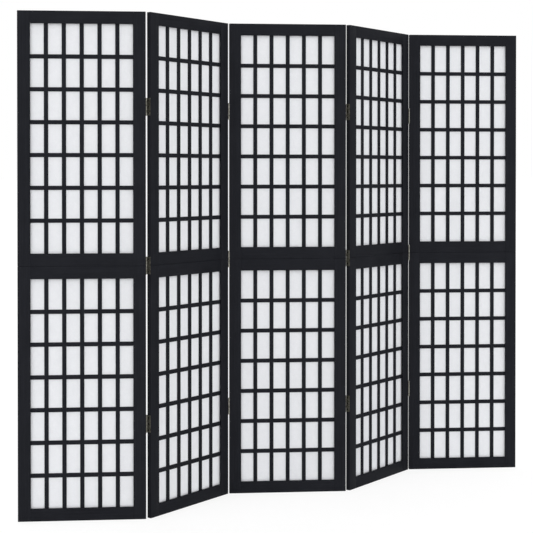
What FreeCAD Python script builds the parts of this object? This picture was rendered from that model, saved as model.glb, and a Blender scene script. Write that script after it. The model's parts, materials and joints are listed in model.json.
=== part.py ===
import FreeCAD, Part
import os
import Sketcher

doc = FreeCAD.newDocument("room_divider")
sheet = doc.addObject("Spreadsheet::Sheet", "Sizes")

# Driving sizes in millimetres, degrees and counts
sizes = {
    "panel_height": 1800,
    "panel_width": 450,
    "panel_thickness": 18,
    "panel_count": 5,
    "fold_angle": 49,
    "stile_width": 45,
    "rail_height": 45,
    "edge_easing": 1,
    "groove_depth": 6,
    "lattice_recess": 4.4,
    "lattice_depth": 5.2,
    "lattice_bar_width": 15,
    "upright_count": 5,
    "crossbar_count": 6,
    "paper_thickness": 0.4,
    "paper_margin": 5,
    "dowel_diameter": 8,
    "dowel_length": 40,
    "dowel_play": 0.05,
    "edge_gap": 3.2,
    "hinge_length": 62,
    "hinge_inset": 336,
    "leaf_thickness": 1,
    "leaf_reach": 16.5,
    "knuckle_count": 5,
    "knuckle_play": 0.3,
    "barrel_play": 0.3,
    "pin_diameter": 3,
    "pin_play": 0.05,
    "pin_head_diameter": 4.6,
    "pin_head_height": 0.8,
    "screw_pitch": 22,
    "screw_setback": 7,
    "screw_length": 14,
    "screw_head_diameter": 5.6,
    "screw_shank_diameter": 3.2,
    "screw_tip_diameter": 1,
    "screw_tip_length": 3,
    "screw_play": 0.05,
    "recess_span": 3.4,
    "recess_width": 0.9,
    "recess_depth": 0.6,
}
for row, (name, number) in enumerate(sizes.items(), start=1):
    sheet.set(f"A{row}", name)
    sheet.set(f"B{row}", str(number))
    sheet.setAlias(f"B{row}", name)
doc.recompute()


def value(expression):
    return float(sheet.evalExpression(expression))


def count(name):
    return int(round(value(f"Sizes.{name}")))


# Sizes that follow from the driving ones; x runs along a panel, y from front to back, z up
half_width = "Sizes.panel_width / 2"
half_depth = "Sizes.panel_thickness / 2"
seam_height = "Sizes.panel_height / 2"
opening_width = "(Sizes.panel_width - 2 * Sizes.stile_width)"
opening_height = "(Sizes.panel_height / 2 - 2 * Sizes.rail_height)"
opening_bottom = "(Sizes.panel_height / 2 + Sizes.rail_height)"
lattice_front = "(Sizes.lattice_recess - Sizes.panel_thickness / 2)"
lattice_middle = f"({lattice_front} + Sizes.lattice_depth / 2)"
lattice_back = f"({lattice_front} + Sizes.lattice_depth)"
groove_back = f"({lattice_back} + Sizes.paper_thickness)"
upright_space = f"(({opening_width} - Sizes.upright_count * Sizes.lattice_bar_width) / (Sizes.upright_count + 1))"
upright_pitch = f"({upright_space} + Sizes.lattice_bar_width)"
crossbar_pitch = f"({opening_height} / (Sizes.crossbar_count + 1))"
bore_radius = "(Sizes.pin_diameter / 2 + Sizes.pin_play)"
barrel_radius = f"({bore_radius} + Sizes.leaf_thickness)"
swing_radius = f"({barrel_radius} + Sizes.barrel_play)"
pin_across = "(Sizes.panel_width / 2 + Sizes.edge_gap / 2)"
pin_outside = f"(sqrt(2) * {swing_radius} - Sizes.edge_gap / 2 - Sizes.edge_easing)"
pin_depth = f"(Sizes.panel_thickness / 2 + {pin_outside})"
half_fold = "Sizes.fold_angle / 2"
panel_pitch = f"2 * ({pin_across} * cos({half_fold}) + {pin_depth} * sin({half_fold}))"
hinge_heights = [
    "Sizes.hinge_inset",
    seam_height,
    "(Sizes.panel_height - Sizes.hinge_inset)",
]


# Drawing helpers
def new_body(name):
    body = doc.addObject("PartDesign::Body", name)
    body.AllowCompound = True
    return body


def origin_feature(body, role):
    return next(item for item in body.Origin.OriginFeatures if item.Role == role)


def sketch_on(body, role, offset="0"):
    sketch = body.newObject("Sketcher::SketchObject", "sketch")
    sketch.AttachmentSupport = [(origin_feature(body, role), "")]
    sketch.MapMode = "FlatFace"
    sketch.setExpression("AttachmentOffset.Base.z", offset)
    return sketch


def bind(sketch, kind, place, expression):
    index = sketch.addConstraint(Sketcher.Constraint(kind, *place, value(expression)))
    sketch.setExpression(f"Constraints[{index}]", expression)


def draw_outline(sketch, corners):
    total = len(corners)
    points = [FreeCAD.Vector(value(across), value(up), 0) for across, up in corners]
    for index in range(total):
        sketch.addGeometry(Part.LineSegment(points[index], points[(index + 1) % total]), False)
    for index in range(total):
        sketch.addConstraint(Sketcher.Constraint("Coincident", index, 2, (index + 1) % total, 1))
    for index, (across, up) in enumerate(corners):
        bind(sketch, "DistanceX", (index, 1), across)
        bind(sketch, "DistanceY", (index, 1), up)


def draw_rectangle(sketch, left, bottom, right, top):
    draw_outline(sketch, [(left, bottom), (right, bottom), (right, top), (left, top)])


def draw_circle(sketch, across, up, radius):
    centre = FreeCAD.Vector(value(across), value(up), 0)
    circle = Part.Circle(centre, FreeCAD.Vector(0, 0, 1), value(radius))
    index = sketch.addGeometry(circle, False)
    bind(sketch, "DistanceX", (index, 3), across)
    bind(sketch, "DistanceY", (index, 3), up)
    bind(sketch, "Radius", (index,), radius)


def pad(body, sketch, length, symmetric=False):
    feature = body.newObject("PartDesign::Pad", "pad")
    feature.Profile = sketch
    feature.setExpression("Length", length)
    if symmetric:
        feature.SideType = "Symmetric"
    return feature


def pocket(body, sketch, depth, along_normal=False):
    feature = body.newObject("PartDesign::Pocket", "pocket")
    feature.Profile = sketch
    feature.setExpression("Length", depth)
    feature.Reversed = along_normal
    return feature


def revolve(body, sketch):
    feature = body.newObject("PartDesign::Revolution", "turning")
    feature.Profile = sketch
    feature.ReferenceAxis = (sketch, ["V_Axis"])
    feature.Angle = 360
    return feature


def repeat(body, feature, role, occurrences, length):
    pattern = body.newObject("PartDesign::LinearPattern", "row")
    pattern.Originals = [feature]
    pattern.Direction = (origin_feature(body, role), [""])
    pattern.setExpression("Length", length)
    pattern.Occurrences = occurrences
    body.Tip = pattern


def mirrored(source, name, normal, height=None):
    mirror = doc.addObject("Part::Mirroring", name)
    mirror.Source = source
    mirror.Normal = FreeCAD.Vector(*normal)
    if height:
        mirror.setExpression("Base.z", height)
    return mirror


def across(source, name):
    return mirrored(source, name, (1, 0, 0))


def front_to_back(source, name):
    return mirrored(source, name, (0, 1, 0))


def below_seam(source, name):
    return mirrored(source, name, (0, 0, 1), seam_height)


def copy_at(source, name, place, turn=None):
    copy = doc.addObject("App::Link", name)
    copy.LinkedObject = source
    if turn:
        copy.Placement = FreeCAD.Placement(FreeCAD.Vector(), turn)
    for axis, expression in zip("xyz", place):
        copy.setExpression(f"Placement.Base.{axis}", expression)
    return copy


def gather(name, members):
    group = doc.addObject("Part::Compound", name)
    group.Links = members
    return group


# Stile of the upper left: eased outer edges, groove on the inner edge, dowel socket, screw holes
def make_stile(name, screw_line):
    outer = f"-{half_width}"
    inner = f"(Sizes.stile_width - {half_width})"
    body = new_body(name)
    blank = sketch_on(body, "XY_Plane", seam_height)
    draw_rectangle(blank, outer, f"-{half_depth}", inner, half_depth)
    bar = pad(body, blank, seam_height)
    doc.recompute()
    easing = body.newObject("PartDesign::Chamfer", "easing")
    inner_face = value(inner)
    edges = enumerate(bar.Shape.Edges, start=1)
    easing.Base = (bar, [f"Edge{index}" for index, edge in edges if edge.CenterOfMass.x < inner_face - 0.001])
    easing.setExpression("Size", "Sizes.edge_easing")
    groove = sketch_on(body, "XY_Plane", seam_height)
    draw_rectangle(groove, f"{inner} - Sizes.groove_depth", lattice_front, f"{inner} + 1", groove_back)
    pocket(body, groove, seam_height, along_normal=True)
    socket = sketch_on(body, "XY_Plane", seam_height)
    socket_radius = "Sizes.dowel_diameter / 2 + Sizes.dowel_play"
    draw_circle(socket, f"Sizes.stile_width / 2 - {half_width}", "0", socket_radius)
    pocket(body, socket, "Sizes.dowel_length / 2", along_normal=True)
    if screw_line:
        holes = sketch_on(body, "YZ_Plane", outer)
        upper = "Sizes.panel_height - Sizes.hinge_inset"
        heights = [f"{upper} + ({step}) * Sizes.screw_pitch" for step in (-1, 0, 1)]
        heights.append(f"{seam_height} + Sizes.screw_pitch")
        for height in heights:
            draw_circle(holes, screw_line, height, "Sizes.screw_shank_diameter / 2 + Sizes.screw_play")
        pocket(body, holes, "Sizes.screw_length - Sizes.leaf_thickness", along_normal=True)
    return body


screw_lines = {
    "plain": None,
    "front": f"Sizes.screw_setback - {half_depth}",
    "back": f"{half_depth} - Sizes.screw_setback",
}
left_stiles = {}
right_stiles = {}
for kind, screw_line in screw_lines.items():
    upper = make_stile(f"stile_{kind}", screw_line)
    lower = below_seam(upper, f"stile_{kind}_lower")
    left_stiles[kind] = [upper, lower]
    right_stiles[kind] = [across(item, f"{item.Name}_right") for item in (upper, lower)]


# Rail: grooved inner edge, eased outer edge, and a tongue that fills the grooves of both stiles
def make_rail(name):
    inner = "(Sizes.panel_height - Sizes.rail_height)"
    floor = f"{inner} + Sizes.groove_depth"
    outer = "Sizes.panel_height"
    shoulder = f"{outer} - Sizes.edge_easing"
    crown = f"({half_depth} - Sizes.edge_easing)"
    body = new_body(name)
    section = sketch_on(body, "YZ_Plane")
    draw_outline(section, [
        (f"-{half_depth}", inner),
        (lattice_front, inner),
        (lattice_front, floor),
        (groove_back, floor),
        (groove_back, inner),
        (half_depth, inner),
        (half_depth, shoulder),
        (crown, outer),
        (f"-{crown}", outer),
        (f"-{half_depth}", shoulder),
    ])
    pad(body, section, opening_width, symmetric=True)
    tongue = sketch_on(body, "YZ_Plane")
    draw_rectangle(tongue, lattice_front, floor, groove_back, outer)
    pad(body, tongue, f"{opening_width} + 2 * Sizes.groove_depth", symmetric=True)
    return body


top_rail = make_rail("top_rail")
upper_middle_rail = mirrored(top_rail, "upper_middle_rail", (0, 0, 1), "Sizes.panel_height * 3 / 4")
rails = [top_rail, upper_middle_rail]
rails += [below_seam(item, f"{item.Name}_lower") for item in (top_rail, upper_middle_rail)]


# Lattice bars, halved into each other where they cross
def comb(start, end, edge, notch, far_edge, centres):
    corners = [(start, edge)]
    for centre in centres:
        before = f"{centre} - Sizes.lattice_bar_width / 2"
        after = f"{centre} + Sizes.lattice_bar_width / 2"
        corners += [(before, edge), (before, notch), (after, notch), (after, edge)]
    return corners + [(end, edge), (end, far_edge), (start, far_edge)]


upright_centres = [
    f"({step} * {upright_pitch} - {opening_width} / 2 - Sizes.lattice_bar_width / 2)"
    for step in range(1, count("upright_count") + 1)
]
crossbar_centres = [
    f"({opening_bottom} + {step} * {crossbar_pitch})"
    for step in range(1, count("crossbar_count") + 1)
]

uprights = new_body("uprights")
upright_start = f"{opening_bottom} - Sizes.groove_depth"
upright_end = f"{opening_bottom} + {opening_height} + Sizes.groove_depth"
upright_side = sketch_on(uprights, "YZ_Plane", f"{upright_centres[0]} - Sizes.lattice_bar_width / 2")
upright_comb = comb(upright_start, upright_end, lattice_back, lattice_middle, lattice_front, crossbar_centres)
draw_outline(upright_side, [(depth, height) for height, depth in upright_comb])
upright = pad(uprights, upright_side, "Sizes.lattice_bar_width")
upright_run = f"(Sizes.upright_count - 1) * {upright_pitch}"
repeat(uprights, upright, "X_Axis", count("upright_count"), upright_run)

crossbars = new_body("crossbars")
crossbar_end = f"({opening_width} / 2 + Sizes.groove_depth)"
crossbar_plan = sketch_on(crossbars, "XY_Plane", f"{crossbar_centres[0]} - Sizes.lattice_bar_width / 2")
draw_outline(crossbar_plan, comb(
    f"-{crossbar_end}", crossbar_end, lattice_front, lattice_middle, lattice_back, upright_centres,
))
crossbar = pad(crossbars, crossbar_plan, "Sizes.lattice_bar_width")
crossbar_run = f"(Sizes.crossbar_count - 1) * {crossbar_pitch}"
repeat(crossbars, crossbar, "Z_Axis", count("crossbar_count"), crossbar_run)

# Paper behind the lattice, its margin in the groove
paper = doc.addObject("Part::Box", "paper")
paper.setExpression("Length", f"{opening_width} + 2 * Sizes.paper_margin")
paper.setExpression("Width", "Sizes.paper_thickness")
paper.setExpression("Height", f"{opening_height} + 2 * Sizes.paper_margin")
paper.setExpression("Placement.Base.x", f"-{opening_width} / 2 - Sizes.paper_margin")
paper.setExpression("Placement.Base.y", lattice_back)
paper.setExpression("Placement.Base.z", f"{opening_bottom} - Sizes.paper_margin")

# Dowel that joins the upper and lower stile
dowel = doc.addObject("Part::Cylinder", "dowel")
dowel.setExpression("Radius", "Sizes.dowel_diameter / 2")
dowel.setExpression("Height", "Sizes.dowel_length")
dowel.setExpression("Placement.Base.x", f"Sizes.stile_width / 2 - {half_width}")
dowel.setExpression("Placement.Base.z", f"{seam_height} - Sizes.dowel_length / 2")


# Hinge leaf, drawn about its pin: a plate on the stile edge, rolled knuckles, countersunk holes
def knuckle_spans(first):
    total = count("knuckle_count")
    spans = []
    for index in range(first, total, 2):
        start = f"({index} / Sizes.knuckle_count - 0.5) * Sizes.hinge_length"
        end = f"({index + 1} / Sizes.knuckle_count - 0.5) * Sizes.hinge_length"
        if index > 0:
            start += " + Sizes.knuckle_play / 2"
        if index < total - 1:
            end += " - Sizes.knuckle_play / 2"
        spans.append((start, end))
    return spans


def make_leaf(name, first_knuckle, screw_steps):
    wood_side = "-Sizes.edge_gap / 2"
    far_edge = f"-({pin_outside} + Sizes.leaf_reach)"
    clear_edge = f"-{swing_radius}"
    spans = knuckle_spans(first_knuckle)
    body = new_body(name)
    plate = sketch_on(body, "YZ_Plane", wood_side)
    corners = [(far_edge, "-Sizes.hinge_length / 2")]
    if first_knuckle > 0:
        corners.append((clear_edge, "-Sizes.hinge_length / 2"))
    for index, (start, end) in enumerate(spans):
        if first_knuckle > 0 or index > 0:
            corners.append((clear_edge, start))
        corners += [("0", start), ("0", end)]
        if first_knuckle > 0 or index < len(spans) - 1:
            corners.append((clear_edge, end))
    if first_knuckle > 0:
        corners.append((clear_edge, "Sizes.hinge_length / 2"))
    corners.append((far_edge, "Sizes.hinge_length / 2"))
    draw_outline(plate, corners)
    pad(body, plate, "Sizes.leaf_thickness")
    for start, end in spans:
        knuckle = sketch_on(body, "XY_Plane", start)
        draw_circle(knuckle, "0", "0", barrel_radius)
        pad(body, knuckle, f"({end}) - ({start})")
    bore = sketch_on(body, "XY_Plane", "-Sizes.hinge_length / 2")
    draw_circle(bore, "0", "0", bore_radius)
    pocket(body, bore, "Sizes.hinge_length", along_normal=True)
    for step in screw_steps:
        sink = body.newObject("PartDesign::SubtractiveCone", "countersink")
        sink.AttachmentSupport = [(origin_feature(body, "YZ_Plane"), "")]
        sink.MapMode = "FlatFace"
        sink.setExpression("AttachmentOffset.Base.x", f"-({pin_outside} + Sizes.screw_setback)")
        sink.setExpression("AttachmentOffset.Base.y", f"{step} * Sizes.screw_pitch")
        sink.setExpression("AttachmentOffset.Base.z", wood_side)
        sink.setExpression("Radius1", "Sizes.screw_shank_diameter / 2 + Sizes.screw_play")
        sink.setExpression("Radius2", "Sizes.screw_head_diameter / 2 + Sizes.screw_play")
        sink.setExpression("Height", "Sizes.leaf_thickness")
    return body


# The hinge at the seam has no screw at its centre
end_screws = (-1, 0, 1)
seam_screws = (-1, 1)
screw_steps = [end_screws, seam_screws, end_screws]


def leaf_column(name, first_knuckle):
    end_leaf = make_leaf(f"{name}_end_leaf", first_knuckle, end_screws)
    seam_leaf = make_leaf(f"{name}_seam_leaf", first_knuckle, seam_screws)
    copies = [
        copy_at(leaf, f"{name}_leaf_copy", (pin_across, pin_depth, height))
        for leaf, height in zip((end_leaf, seam_leaf, end_leaf), hinge_heights)
    ]
    return gather(f"{name}_leaves", copies)


outer_leaves = leaf_column("outer", 0)
inner_leaves = across(leaf_column("inner", 1), "inner_leaves_left")
right_leaves = {"back": outer_leaves, "front": front_to_back(outer_leaves, "outer_leaves_front")}
left_leaves = {"back": inner_leaves, "front": front_to_back(inner_leaves, "inner_leaves_front")}

# Hinge pin with a flat head at each end
pin = new_body("pin")
pin_end = "Sizes.hinge_length / 2"
pin_tip = f"({pin_end} + Sizes.pin_head_height)"
pin_side = sketch_on(pin, "XZ_Plane")
draw_outline(pin_side, [
    ("0", f"-{pin_tip}"),
    ("Sizes.pin_head_diameter / 2", f"-{pin_tip}"),
    ("Sizes.pin_head_diameter / 2", f"-{pin_end}"),
    ("Sizes.pin_diameter / 2", f"-{pin_end}"),
    ("Sizes.pin_diameter / 2", pin_end),
    ("Sizes.pin_head_diameter / 2", pin_end),
    ("Sizes.pin_head_diameter / 2", pin_tip),
    ("0", pin_tip),
])
revolve(pin, pin_side)
back_pins = gather("pins_back", [
    copy_at(pin, "pin_copy", (pin_across, pin_depth, height)) for height in hinge_heights
])
pins = {"back": back_pins, "front": front_to_back(back_pins, "pins_front")}

# Countersunk screw with a cross recess
screw = new_body("screw")
screw_side = sketch_on(screw, "XZ_Plane")
draw_outline(screw_side, [
    ("0", "0"),
    ("Sizes.screw_head_diameter / 2", "0"),
    ("Sizes.screw_shank_diameter / 2", "-Sizes.leaf_thickness"),
    ("Sizes.screw_shank_diameter / 2", "Sizes.screw_tip_length - Sizes.screw_length"),
    ("Sizes.screw_tip_diameter / 2", "-Sizes.screw_length"),
    ("0", "-Sizes.screw_length"),
])
revolve(screw, screw_side)
recess = sketch_on(screw, "XY_Plane")
long_arm = "Sizes.recess_span / 2"
short_arm = "Sizes.recess_width / 2"
quarter = [(long_arm, f"-{short_arm}"), (long_arm, short_arm), (short_arm, short_arm)]
cross = [(x, y) for x, y in quarter]
cross += [(f"-({y})", x) for x, y in quarter]
cross += [(f"-({x})", f"-({y})") for x, y in quarter]
cross += [(y, f"-({x})") for x, y in quarter]
draw_outline(recess, cross)
pocket(screw, recess, "Sizes.recess_depth")

outward = FreeCAD.Rotation(FreeCAD.Vector(0, 1, 0), 90)
screw_copies = []
for height, steps in zip(hinge_heights, screw_steps):
    for step in steps:
        place = (
            f"{half_width} + Sizes.leaf_thickness",
            f"{half_depth} - Sizes.screw_setback",
            f"{height} + ({step}) * Sizes.screw_pitch",
        )
        screw_copies.append(copy_at(screw, "screw_copy", place, outward))
right_screws = gather("screws_back", screw_copies)
left_screws = across(right_screws, "screws_back_left")
right_screw_sets = {"back": right_screws, "front": front_to_back(right_screws, "screws_front")}
left_screw_sets = {"back": left_screws, "front": front_to_back(left_screws, "screws_front_left")}


# Five panels in a zigzag; hinge pins lie at the back and at the front by turns
def place_panel(group, number):
    steps = number - (count("panel_count") + 1) / 2
    group.Placement = FreeCAD.Placement(FreeCAD.Vector(), FreeCAD.Rotation(FreeCAD.Vector(0, 0, 1), 1))
    group.setExpression("Placement.Base.x", f"{steps} * {panel_pitch}")
    if number % 2:
        group.setExpression("Placement.Rotation.Angle", f"360 - {half_fold}")
    else:
        group.setExpression("Placement.Rotation.Angle", half_fold)


nodes = []


def add_node(label, number, members):
    node = gather(label, members)
    node.Label = label
    place_panel(node, number)
    nodes.append(node)


lower_uprights = below_seam(uprights, "uprights_lower")
lower_crossbars = below_seam(crossbars, "crossbars_lower")
lower_paper = below_seam(paper, "paper_lower")
right_dowel = across(dowel, "dowel_right")
last = count("panel_count")
for number in range(1, last + 1):
    name = f"panel_{number}"
    left_side, right_side = ("front", "back") if number % 2 else ("back", "front")
    left_kind = left_side if number > 1 else "plain"
    right_kind = right_side if number < last else "plain"
    add_node(f"{name}_left_stiles", number, left_stiles[left_kind])
    add_node(f"{name}_right_stiles", number, right_stiles[right_kind])
    add_node(f"{name}_rails", number, rails)
    add_node(f"{name}_lattice_uprights", number, [uprights, lower_uprights])
    add_node(f"{name}_lattice_crossbars", number, [crossbars, lower_crossbars])
    add_node(f"{name}_upper_paper", number, [paper])
    add_node(f"{name}_lower_paper", number, [lower_paper])
    add_node(f"{name}_dowels", number, [dowel, right_dowel])
    screws = []
    if number > 1:
        add_node(f"{name}_left_hinge_leaves", number, [left_leaves[left_side]])
        screws.append(left_screw_sets[left_side])
    if number < last:
        add_node(f"{name}_right_hinge_leaves", number, [right_leaves[right_side]])
        add_node(f"hinge_pins_{number}_{number + 1}", number, [pins[right_side]])
        screws.append(right_screw_sets[right_side])
    add_node(f"{name}_hinge_screws", number, screws)

doc.recompute()
for item in doc.Objects:
    if "Invalid" in item.State or "Error" in item.State:
        raise RuntimeError(f"{item.Name} did not compute: {item.State}")

os.makedirs("parts", exist_ok=True)
for node in nodes:
    if node.Shape.isNull() or not node.Shape.isValid() or not node.Shape.Solids:
        raise RuntimeError(f"{node.Label} has no sound shape")
    node.Shape.exportStep(f"parts/{node.Label}.step")
    print(node.Label, len(node.Shape.Solids), "solids", round(node.Shape.Volume / 1000, 2), "cm3")
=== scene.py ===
import bmesh
import bpy
import json
import math
from mathutils import Matrix, Vector


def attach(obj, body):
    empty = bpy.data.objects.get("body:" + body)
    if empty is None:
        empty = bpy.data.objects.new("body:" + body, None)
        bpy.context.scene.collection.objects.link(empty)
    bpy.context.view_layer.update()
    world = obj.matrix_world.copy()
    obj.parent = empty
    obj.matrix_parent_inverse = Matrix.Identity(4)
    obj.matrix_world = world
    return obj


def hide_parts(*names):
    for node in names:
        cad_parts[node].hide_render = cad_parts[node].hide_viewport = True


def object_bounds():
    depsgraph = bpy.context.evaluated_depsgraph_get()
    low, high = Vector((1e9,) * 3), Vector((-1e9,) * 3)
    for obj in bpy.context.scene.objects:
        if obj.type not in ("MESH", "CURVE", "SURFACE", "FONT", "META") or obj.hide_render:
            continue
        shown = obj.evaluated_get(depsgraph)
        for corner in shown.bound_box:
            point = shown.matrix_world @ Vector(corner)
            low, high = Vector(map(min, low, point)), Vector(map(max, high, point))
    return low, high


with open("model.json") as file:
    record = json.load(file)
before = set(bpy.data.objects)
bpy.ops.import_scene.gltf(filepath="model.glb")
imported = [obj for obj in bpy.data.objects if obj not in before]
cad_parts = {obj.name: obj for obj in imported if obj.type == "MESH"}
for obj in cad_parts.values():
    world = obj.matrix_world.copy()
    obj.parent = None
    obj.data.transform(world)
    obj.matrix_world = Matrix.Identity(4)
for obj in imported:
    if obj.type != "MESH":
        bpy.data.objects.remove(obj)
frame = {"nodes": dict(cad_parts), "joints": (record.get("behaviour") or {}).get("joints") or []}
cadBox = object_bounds()
nodes = frame["nodes"]
joints = {joint["name"]: joint for joint in frame["joints"]}
print("frame loaded,", len(nodes), "nodes")

screen = {
    "panels": 5,
    "height": cadBox[1][2],
    "seamHeight": cadBox[1][2] / 2,
    "halfFold": -joints["fold_2_3"]["range_deg"][0] / 2,
    "pitch": joints["fold_3_4"]["pos_m"][0] - joints["fold_2_3"]["pos_m"][0],
}
panelNumbers = range(1, screen["panels"] + 1)


def panelTurn(number):  # odd panels turn one way, even ones the other
    return math.radians(screen["halfFold"] * (-1 if number % 2 else 1))


def panelPlace(number):
    along = (number - (screen["panels"] + 1) / 2) * screen["pitch"]
    return Matrix.Translation((along, 0, 0)) @ Matrix.Rotation(panelTurn(number), 4, "Z")


def pickOnly(piece):
    bpy.ops.object.select_all(action="DESELECT")
    piece.select_set(True)
    bpy.context.view_layer.objects.active = piece


# shader sums: a socket that takes part in plain arithmetic
class Flow:
    def __init__(self, tree, socket=None):
        self.tree = tree
        self.socket = socket

    def node(self, kind, settings=None, sockets=None, output=0):
        made = self.tree.nodes.new(kind)
        for key, setting in (settings or {}).items():
            setattr(made, key, setting)
        for key, given in (sockets or {}).items():
            if isinstance(given, Flow):
                self.tree.links.new(given.socket, made.inputs[key])
            else:
                made.inputs[key].default_value = given
        return Flow(self.tree, made.outputs[output] if made.outputs else None)

    def calc(self, operation, first, second):
        return self.node("ShaderNodeMath", {"operation": operation}, {0: first, 1: second})

    def __add__(self, other):
        return self.calc("ADD", self, other)

    def __radd__(self, other):
        return self.calc("ADD", other, self)

    def __sub__(self, other):
        return self.calc("SUBTRACT", self, other)

    def __rsub__(self, other):
        return self.calc("SUBTRACT", other, self)

    def __mul__(self, other):
        return self.calc("MULTIPLY", self, other)

    def __rmul__(self, other):
        return self.calc("MULTIPLY", other, self)

    def blend(self, low, high):  # self runs from one colour to the other
        return self.node("ShaderNodeMix", {"data_type": "RGBA"}, {0: self, 6: low, 7: high}, 2)

    def noise(self, size, turn, detail, rough, lean=0):  # size of a fleck in metres
        spot = self.node("ShaderNodeTexCoord", output="Object")
        spot = self.node("ShaderNodeMapping", {"vector_type": "TEXTURE"}, {
            "Vector": spot, "Rotation": (0, lean, turn), "Scale": size,
        })
        return self.node("ShaderNodeTexNoise", {"noise_dimensions": "3D"}, {
            "Vector": spot, "Scale": 1, "Detail": detail, "Roughness": rough,
        })

    def fromAxis(self, place):  # distance from an upright line, in metres
        spot = self.node("ShaderNodeTexCoord", output="Object")
        spot = self.node("ShaderNodeMapping", {"vector_type": "POINT"}, {
            "Vector": spot, "Location": (-place[0], -place[1], 0), "Scale": (1, 1, 0),
        })
        return self.node("ShaderNodeVectorMath", {"operation": "LENGTH"}, {0: spot}, "Value")

    def seenRays(self):  # 1 for what the camera sees, also in a shiny or clear surface
        camera, glossy, clear = [
            self.node("ShaderNodeLightPath", output=f"Is {kind} Ray")
            for kind in ("Camera", "Glossy", "Transmission")
        ]
        return (camera + glossy + clear).band(0, 1)

    def band(self, low, high):  # stretch the part between low and high to 0..1
        return self.node("ShaderNodeMapRange", {"clamp": True}, {0: self, 1: low, 2: high, 3: 0, 4: 1})


def newFinish(name):
    finish = bpy.data.materials.new(name)
    finish.use_nodes = True
    finish.node_tree.nodes.clear()
    return finish, Flow(finish.node_tree)


def closeFinish(flow, shader):
    flow.node("ShaderNodeOutputMaterial", None, {"Surface": shader})


lacquer = {
    "dark": (0.0074, 0.0079, 0.0101, 1),
    "light": (0.0148, 0.0156, 0.0194, 1),
    "shine": 0.035,
    "grain": (0.0018, 0.30),  # width and length of a streak
    "pore": (0.0005, 0.024),
    "poreCut": (0.52, 0.78),  # the part of the noise that shows as pores
    "cloud": 0.08,
    "toneCut": (0.26, 0.62),
    "rough": 0.38,
    "relief": 0.00012,
    "reliefStrength": 0.8,
}


def lacquerFinish(name, turn, alongZ):
    finish, flow = newFinish(name)
    streaks = []
    for kind in ("grain", "pore"):
        wide, tall = lacquer[kind]
        streaks.append((wide, wide, tall) if alongZ else (tall, wide, wide))
    grain = flow.noise(streaks[0], turn, detail=4, rough=0.65)
    pores = flow.noise(streaks[1], turn, detail=2, rough=0.5).band(*lacquer["poreCut"])
    cloud = flow.noise((lacquer["cloud"],) * 3, turn, detail=2, rough=0.5)
    tone = (0.75 * grain + 0.25 * cloud - 0.22 * pores).band(*lacquer["toneCut"])
    relief = 0.4 * grain - 0.8 * pores
    shader = flow.node("ShaderNodeBsdfPrincipled", None, {
        "Base Color": tone.blend(lacquer["dark"], lacquer["light"]),
        "Roughness": lacquer["rough"] + 0.28 * grain + 0.12 * pores,
        "Specular IOR Level": lacquer["shine"],
        "Normal": flow.node("ShaderNodeBump", None, {
            "Strength": lacquer["reliefStrength"], "Distance": lacquer["relief"], "Height": relief,
        }),
    })
    closeFinish(flow, shader)
    return finish


paperLook = {
    "shade": (0.862, 0.869, 0.885, 1),
    "bright": (0.931, 0.937, 0.952, 1),
    "through": 0.72,
    "shine": 0.2,
    "cloud": 0.018,
    "fibreLong": 0.016,
    "fibreWide": 0.0005,
    "fibreLeans": (0.3, 1.2, 2.2),  # radians
    "fibreCut": (0.5, 0.74),
    "toneCut": (0.1, 0.75),
    "rough": 0.78,
    "relief": 0.00006,
    "reliefStrength": 0.5,
}


def paperFinish(name, turn):
    finish, flow = newFinish(name)
    long, wide = paperLook["fibreLong"], paperLook["fibreWide"]
    cloud = flow.noise((paperLook["cloud"],) * 3, turn, detail=3, rough=0.6)
    first, second, third = [  # strands in three directions
        flow.noise((long, wide, wide), turn, detail=2, rough=0.5, lean=lean).band(*paperLook["fibreCut"])
        for lean in paperLook["fibreLeans"]
    ]
    fibres = first + second + third
    tone = (0.5 * cloud + 0.4 * fibres).band(*paperLook["toneCut"])
    bump = flow.node("ShaderNodeBump", None, {
        "Strength": paperLook["reliefStrength"],
        "Distance": paperLook["relief"],
        "Height": 0.6 * fibres + 0.6 * cloud,
    })
    front = flow.node("ShaderNodeBsdfPrincipled", None, {
        "Base Color": tone.blend(paperLook["shade"], paperLook["bright"]),
        "Roughness": paperLook["rough"] + 0.12 * cloud,
        "Specular IOR Level": paperLook["shine"],
        "Normal": bump,
    })
    dim, clear = [  # light from behind, in the same two colours
        flow.node("ShaderNodeBsdfTranslucent", None, {"Color": paperLook[shade], "Normal": bump})
        for shade in ("shade", "bright")
    ]
    through = flow.node("ShaderNodeMixShader", None, {0: tone, 1: dim, 2: clear})
    shader = flow.node("ShaderNodeMixShader", None, {0: paperLook["through"], 1: front, 2: through})
    closeFinish(flow, shader)
    return finish


# old brass: random patina patches, with the flat leaves painted darker as painted shade between the
# panel edges, and the knuckles about the pin painted lighter, partly rubbed wear and partly painted
# highlight
brassLook = {
    "metal": (0.500, 0.487, 0.430, 1),
    "patina": (0.048, 0.044, 0.030, 1),
    "blotch": 0.006,
    "brushLong": 0.02,
    "brushWide": 0.00025,
    "knuckle": 0.0026,  # radius about the pin
    # width of the ramp from the knuckle, painted lighter, to the leaf, painted in shade
    "shadeRamp": 0.0012,
    "wornCut": (0.36, 0.62),
    "metallic": 0.85,
    "rough": 0.52,
    "relief": 0.00004,
    "reliefStrength": 0.35,
}


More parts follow.
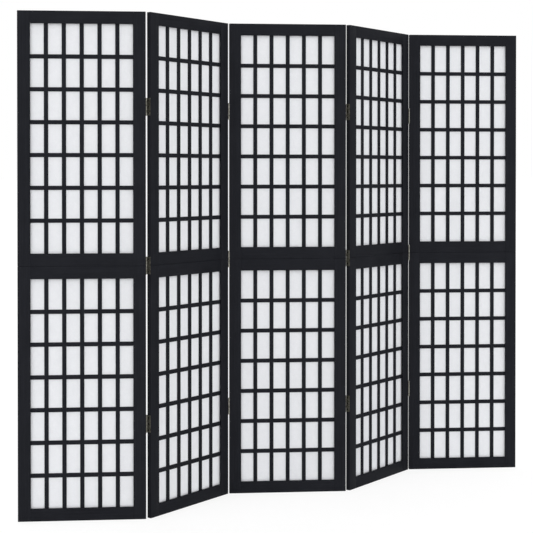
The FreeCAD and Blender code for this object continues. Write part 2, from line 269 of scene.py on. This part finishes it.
def brassFinish(name, pin):
    finish, flow = newFinish(name)
    blotch = flow.noise((brassLook["blotch"],) * 3, 0, detail=4, rough=0.6)
    wide = brassLook["brushWide"]
    brush = flow.noise((wide, wide, brassLook["brushLong"]), 0, detail=2, rough=0.5)
    # painted shade mask: 0 on the knuckle, 1 on the flat leaf, which is painted darker as if shaded
    # between the panel edges
    shadedLeaf = flow.fromAxis(pin).band(brassLook["knuckle"], brassLook["knuckle"] + brassLook["shadeRamp"])
    patches = (0.8 * blotch + 0.2 * brush).band(*brassLook["wornCut"])
    # patches are random patina and wear; the leaf mask paints the leaves darker as painted shade, and
    # the knuckles lighter as rubbed wear and painted highlight
    worn = patches * (0.76 - 0.42 * shadedLeaf) + 0.22 * (1 - shadedLeaf)
    shader = flow.node("ShaderNodeBsdfPrincipled", None, {
        "Base Color": worn.blend(brassLook["patina"], brassLook["metal"]),
        "Metallic": brassLook["metallic"],
        "Roughness": brassLook["rough"] - 0.16 * worn + 0.06 * brush,
        "Normal": flow.node("ShaderNodeBump", None, {
            "Strength": brassLook["reliefStrength"], "Distance": brassLook["relief"], "Height": brush,
        }),
    })
    closeFinish(flow, shader)
    return finish


screwLook = {
    "dark": (0.005, 0.0045, 0.0035, 1),
    "light": (0.022, 0.019, 0.014, 1),
    "fleck": 0.0022,
    "wornCut": (0.35, 0.7),
    "metallic": 0.8,
    "rough": 0.5,
}


def screwFinish():
    finish, flow = newFinish("bronzedSteel")
    worn = flow.noise((screwLook["fleck"],) * 3, 0, detail=3, rough=0.6).band(*screwLook["wornCut"])
    shader = flow.node("ShaderNodeBsdfPrincipled", None, {
        "Base Color": worn.blend(screwLook["dark"], screwLook["light"]),
        "Metallic": screwLook["metallic"],
        "Roughness": screwLook["rough"] - 0.14 * worn,
    })
    closeFinish(flow, shader)
    return finish


beechLook = {
    "early": (0.58, 0.42, 0.26, 1),
    "late": (0.44, 0.29, 0.16, 1),
    "grain": (0.0015, 0.03),  # width and length of a streak
    "toneCut": (0.3, 0.7),
    "rough": 0.6,
}


def beechFinish():
    finish, flow = newFinish("bareBeech")
    wide, tall = beechLook["grain"]
    grain = flow.noise((wide, wide, tall), 0, detail=4, rough=0.6)
    tone = grain.band(*beechLook["toneCut"])
    shader = flow.node("ShaderNodeBsdfPrincipled", None, {
        "Base Color": tone.blend(beechLook["late"], beechLook["early"]),
        "Roughness": beechLook["rough"] + 0.15 * grain,
    })
    closeFinish(flow, shader)
    return finish


uprightLacquer = lacquerFinish("lacquerUpright", 0, True)
levelLacquer = [  # even panels, then odd ones
    lacquerFinish("lacquerLevelEven", panelTurn(2), False),
    lacquerFinish("lacquerLevelOdd", panelTurn(1), False),
]
whitePaper = [  # likewise
    paperFinish("whitePaperEven", panelTurn(2)),
    paperFinish("whitePaperOdd", panelTurn(1)),
]
antiqueBrass = {
    name.removeprefix("fold_"): brassFinish(name.replace("fold", "antiqueBrass"), joint["pos_m"])
    for name, joint in joints.items()
}
bronzedSteel = screwFinish()
bareBeech = beechFinish()
print("finishes mixed")

# frame and lattice pieces: the sawn shapes with their arrises sanded round
sanding = {
    "frame": {"width": 0.0007, "segments": 2, "shortest": 0.012},
    "lattice": {"width": 0.0005, "segments": 2, "shortest": 0.012},
    "weld": 0.000002,
    "seamGap": 0.00002,
    "flatAngle": 1,  # degrees, as the next two
    "sharpAngle": 30,
    "smoothAngle": 40,
}


def onSeam(face):  # an end face of the upper half, where it stands on the lower one
    above = face.calc_center_median().z - screen["seamHeight"]
    return abs(above) < sanding["weld"] and face.normal.z < 0


def inUpperHalf(face):
    return onSeam(face) or face.calc_center_median().z > screen["seamHeight"] + sanding["weld"]


def pickFaces(piece, wanted):
    bpy.ops.mesh.select_all(action="DESELECT")
    mesh = bmesh.from_edit_mesh(piece.data)
    for face in mesh.faces:
        if wanted(face):
            face.select_set(True)
    bmesh.update_edit_mesh(piece.data)


def weldHalves(piece):  # each half is closed by itself, and they stay a hair apart at the seam
    bpy.ops.object.mode_set(mode="EDIT")
    bpy.ops.mesh.select_mode(type="FACE")
    pickFaces(piece, inUpperHalf)
    bpy.ops.mesh.split()
    for half in ("upper", "lower"):
        bpy.ops.mesh.remove_doubles(threshold=sanding["weld"])
        bpy.ops.mesh.select_all(action="INVERT")
    pickFaces(piece, onSeam)
    bpy.ops.transform.translate(value=(0, 0, sanding["seamGap"]))
    bpy.ops.object.mode_set(mode="OBJECT")


def sandPiece(nodeName, body, finish, settings):
    piece = bpy.data.objects.new(f"sanded_{nodeName}", nodes[nodeName].data.copy())
    bpy.context.scene.collection.objects.link(piece)
    pickOnly(piece)
    weldHalves(piece)
    bpy.ops.object.mode_set(mode="EDIT")
    bpy.ops.mesh.select_all(action="SELECT")
    bpy.ops.mesh.dissolve_limited(angle_limit=math.radians(sanding["flatAngle"]))
    bpy.ops.mesh.select_all(action="DESELECT")
    bpy.ops.mesh.select_mode(type="EDGE")
    mesh = bmesh.from_edit_mesh(piece.data)
    sharpAngle = math.radians(sanding["sharpAngle"])
    for edge in mesh.edges:
        sharp = edge.is_manifold and edge.is_convex and edge.calc_face_angle() > sharpAngle
        edge.select_set(sharp and edge.calc_length() > settings["shortest"])
    mesh.select_flush_mode()
    bmesh.update_edit_mesh(piece.data)
    bpy.ops.mesh.bevel(
        offset=settings["width"], segments=settings["segments"], affect="EDGES", clamp_overlap=True,
    )
    bpy.ops.object.mode_set(mode="OBJECT")
    bpy.ops.object.shade_smooth_by_angle(angle=math.radians(sanding["smoothAngle"]))
    piece.data.materials.clear()
    piece.data.materials.append(finish)
    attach(piece, body)
    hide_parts(nodeName)


for number in panelNumbers:
    body = f"panel_{number}"
    level = levelLacquer[number % 2]
    sandPiece(f"{body}_left_stiles", body, uprightLacquer, sanding["frame"])
    sandPiece(f"{body}_right_stiles", body, uprightLacquer, sanding["frame"])
    sandPiece(f"{body}_rails", body, level, sanding["frame"])
    sandPiece(f"{body}_lattice_uprights", body, uprightLacquer, sanding["lattice"])
    sandPiece(f"{body}_lattice_crossbars", body, level, sanding["lattice"])
print("frames and lattices sanded")

# paper: one stretched sheet behind each lattice, slack by a hair between the bars
paperSheet = {
    "width": 0.370,
    "height": 0.820,
    "thickness": 0.0004,
    "front": 0.0006,
    "lift": {"upper": 0.75 * screen["height"], "lower": 0.25 * screen["height"]},
    "opening": (0.360, 0.810),
    "cells": (6, 7),
    "grid": (54, 123),
    "slack": 0.00020,
    "crown": 0.7,  # under 1 is flatter in the middle of a cell
    "cellSteps": (7, 3),  # these number the cells, so that no two neighbours are alike
    "cellTurn": 2.4,
    "wander": 0.4,  # share of the slack that differs from cell to cell
    "ripple": 0.00006,
    "rippleWaves": (190, 75),  # radians per metre, across and up
    "smoothAngle": 40,
}


def slackAt(across, up):
    wide, tall = paperSheet["opening"]
    columns, rows = paperSheet["cells"]
    u = (across / wide + 0.5) * columns
    w = (up / tall + 0.5) * rows
    if not (0 < u < columns and 0 < w < rows):
        return 0
    pillow = abs(math.sin(math.pi * u) * math.sin(math.pi * w)) ** paperSheet["crown"]
    columnStep, rowStep = paperSheet["cellSteps"]
    cell = math.floor(u) * columnStep + math.floor(w) * rowStep
    wander = 1 - paperSheet["wander"] + paperSheet["wander"] * math.sin(cell * paperSheet["cellTurn"])
    waveAcross, waveUp = paperSheet["rippleWaves"]
    ripple = math.sin(across * waveAcross + cell) * math.sin(up * waveUp + 2 * cell)
    return pillow * (paperSheet["slack"] * wander + paperSheet["ripple"] * (1 + ripple))


def cutSheet():  # one sheet, upright about the origin
    columns, rows = paperSheet["grid"]
    bpy.ops.object.select_all(action="DESELECT")
    bpy.ops.mesh.primitive_grid_add(x_subdivisions=columns, y_subdivisions=rows, size=1)
    sheet = bpy.context.active_object
    for spot in sheet.data.vertices:
        across = spot.co.x * paperSheet["width"]
        up = spot.co.y * paperSheet["height"]
        spot.co = (across, slackAt(across, up), up)
    thick = sheet.modifiers.new("thickness", "SOLIDIFY")
    thick.thickness = paperSheet["thickness"]
    thick.offset = -1
    bpy.ops.object.modifier_apply(modifier="thickness")
    bpy.ops.object.shade_smooth_by_angle(angle=math.radians(paperSheet["smoothAngle"]))
    return sheet


def hangSheet(sheet, number, half):
    nodeName = f"panel_{number}_{half}_paper"
    turn = math.pi * ((number + (half == "upper")) % 2)  # every other sheet hangs the other way up
    raised = Matrix.Translation((0, paperSheet["front"], paperSheet["lift"][half]))
    sheet.data.transform(panelPlace(number) @ raised @ Matrix.Rotation(turn, 4, "Y"))
    sheet.name = f"sheet_{nodeName}"
    sheet.data.materials.append(whitePaper[number % 2])
    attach(sheet, f"panel_{number}")
    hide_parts(nodeName)


blankSheet = cutSheet()
for number in panelNumbers:
    for half in ("upper", "lower"):
        sheet = blankSheet.copy()
        sheet.data = blankSheet.data.copy()
        bpy.context.scene.collection.objects.link(sheet)
        hangSheet(sheet, number, half)
bpy.data.objects.remove(blankSheet)
print("paper hung")

# hardware keeps its drawn shape and gets its own finish
def dressNode(nodeName, finish):
    nodes[nodeName].data.materials.clear()
    nodes[nodeName].data.materials.append(finish)


for number in panelNumbers:
    dressNode(f"panel_{number}_dowels", bareBeech)
    dressNode(f"panel_{number}_hinge_screws", bronzedSteel)
for number in panelNumbers[:-1]:
    line = f"{number}_{number + 1}"
    dressNode(f"panel_{number}_right_hinge_leaves", antiqueBrass[line])
    dressNode(f"panel_{number + 1}_left_hinge_leaves", antiqueBrass[line])
    dressNode(f"hinge_pins_{line}", antiqueBrass[line])
print("hardware finished")

# pale floor and studio light
studio = {
    "white": (1, 1, 1, 1),
    "floorSize": 400,
    "floorDrop": 0.0004,  # a hair under the stiles
    "floorColour": (0.95, 0.95, 0.95, 1),
    "floorGlow": 0.8,
    "roomLight": 1.10,
    "key": {"from": (-0.62, -0.62, 0.48), "soft": 40, "strength": 0.66},
    "top": {"from": (0.05, -0.10, 1.0), "soft": 60, "strength": 0.3},
    "lampDistance": 6,
}


def layFloor():
    bpy.ops.object.select_all(action="DESELECT")
    bpy.ops.mesh.primitive_plane_add(size=studio["floorSize"], location=(0, 0, -studio["floorDrop"]))
    floor = bpy.context.active_object
    floor.name = "floor"
    finish, flow = newFinish("paleFloor")
    dull = flow.node("ShaderNodeBsdfDiffuse", None, {"Color": studio["floorColour"]})
    glow = flow.node("ShaderNodeEmission", None, {"Color": studio["white"], "Strength": 1})
    share = studio["floorGlow"] * flow.seenRays()
    closeFinish(flow, flow.node("ShaderNodeMixShader", None, {0: share, 1: dull, 2: glow}))
    floor.data.materials.append(finish)


def lightRoom():
    world = bpy.data.worlds.new("whiteRoom")
    bpy.context.scene.world = world
    world.use_nodes = True
    world.node_tree.nodes.clear()
    flow = Flow(world.node_tree)
    strength = studio["roomLight"] + (1 - studio["roomLight"]) * flow.seenRays()
    light = flow.node("ShaderNodeBackground", None, {"Color": studio["white"], "Strength": strength})
    flow.node("ShaderNodeOutputWorld", None, {"Surface": light})


def hangLamp(name):
    lamp = studio[name]
    data = bpy.data.lights.new(name, "SUN")
    data.angle = math.radians(lamp["soft"])
    data.energy = lamp["strength"]
    light = bpy.data.objects.new(name, data)
    bpy.context.scene.collection.objects.link(light)
    place = Vector(lamp["from"]).normalized() * studio["lampDistance"]
    aim = (-place).to_track_quat("-Z", "Y").to_matrix().to_4x4()
    light.matrix_world = Matrix.Translation(place) @ aim
    light.visible_glossy = False


layFloor()
lightRoom()
hangLamp("key")
hangLamp("top")

# camera: nearly level, with the lens shifted down so that upright edges stay upright
lensSetup = {
    "place": (-2.578, -4.3985, 1.2311),
    "turn": -29.462,
    "tilt": 0.6124,
    "focal": 89.555,
    "shift": -0.15,
    "sensor": 36,
}
lens = bpy.data.cameras.new("camera")
lens.sensor_fit = "HORIZONTAL"
lens.sensor_width = lensSetup["sensor"]
lens.lens = lensSetup["focal"]
lens.shift_y = lensSetup["shift"]
camera = bpy.data.objects.new("camera", lens)
bpy.context.scene.collection.objects.link(camera)
camera.location = lensSetup["place"]
camera.rotation_euler = (math.radians(90 - lensSetup["tilt"]), 0, math.radians(lensSetup["turn"]))
bpy.context.scene.camera = camera
bpy.context.scene.view_settings.view_transform = "Standard"
print("studio ready")
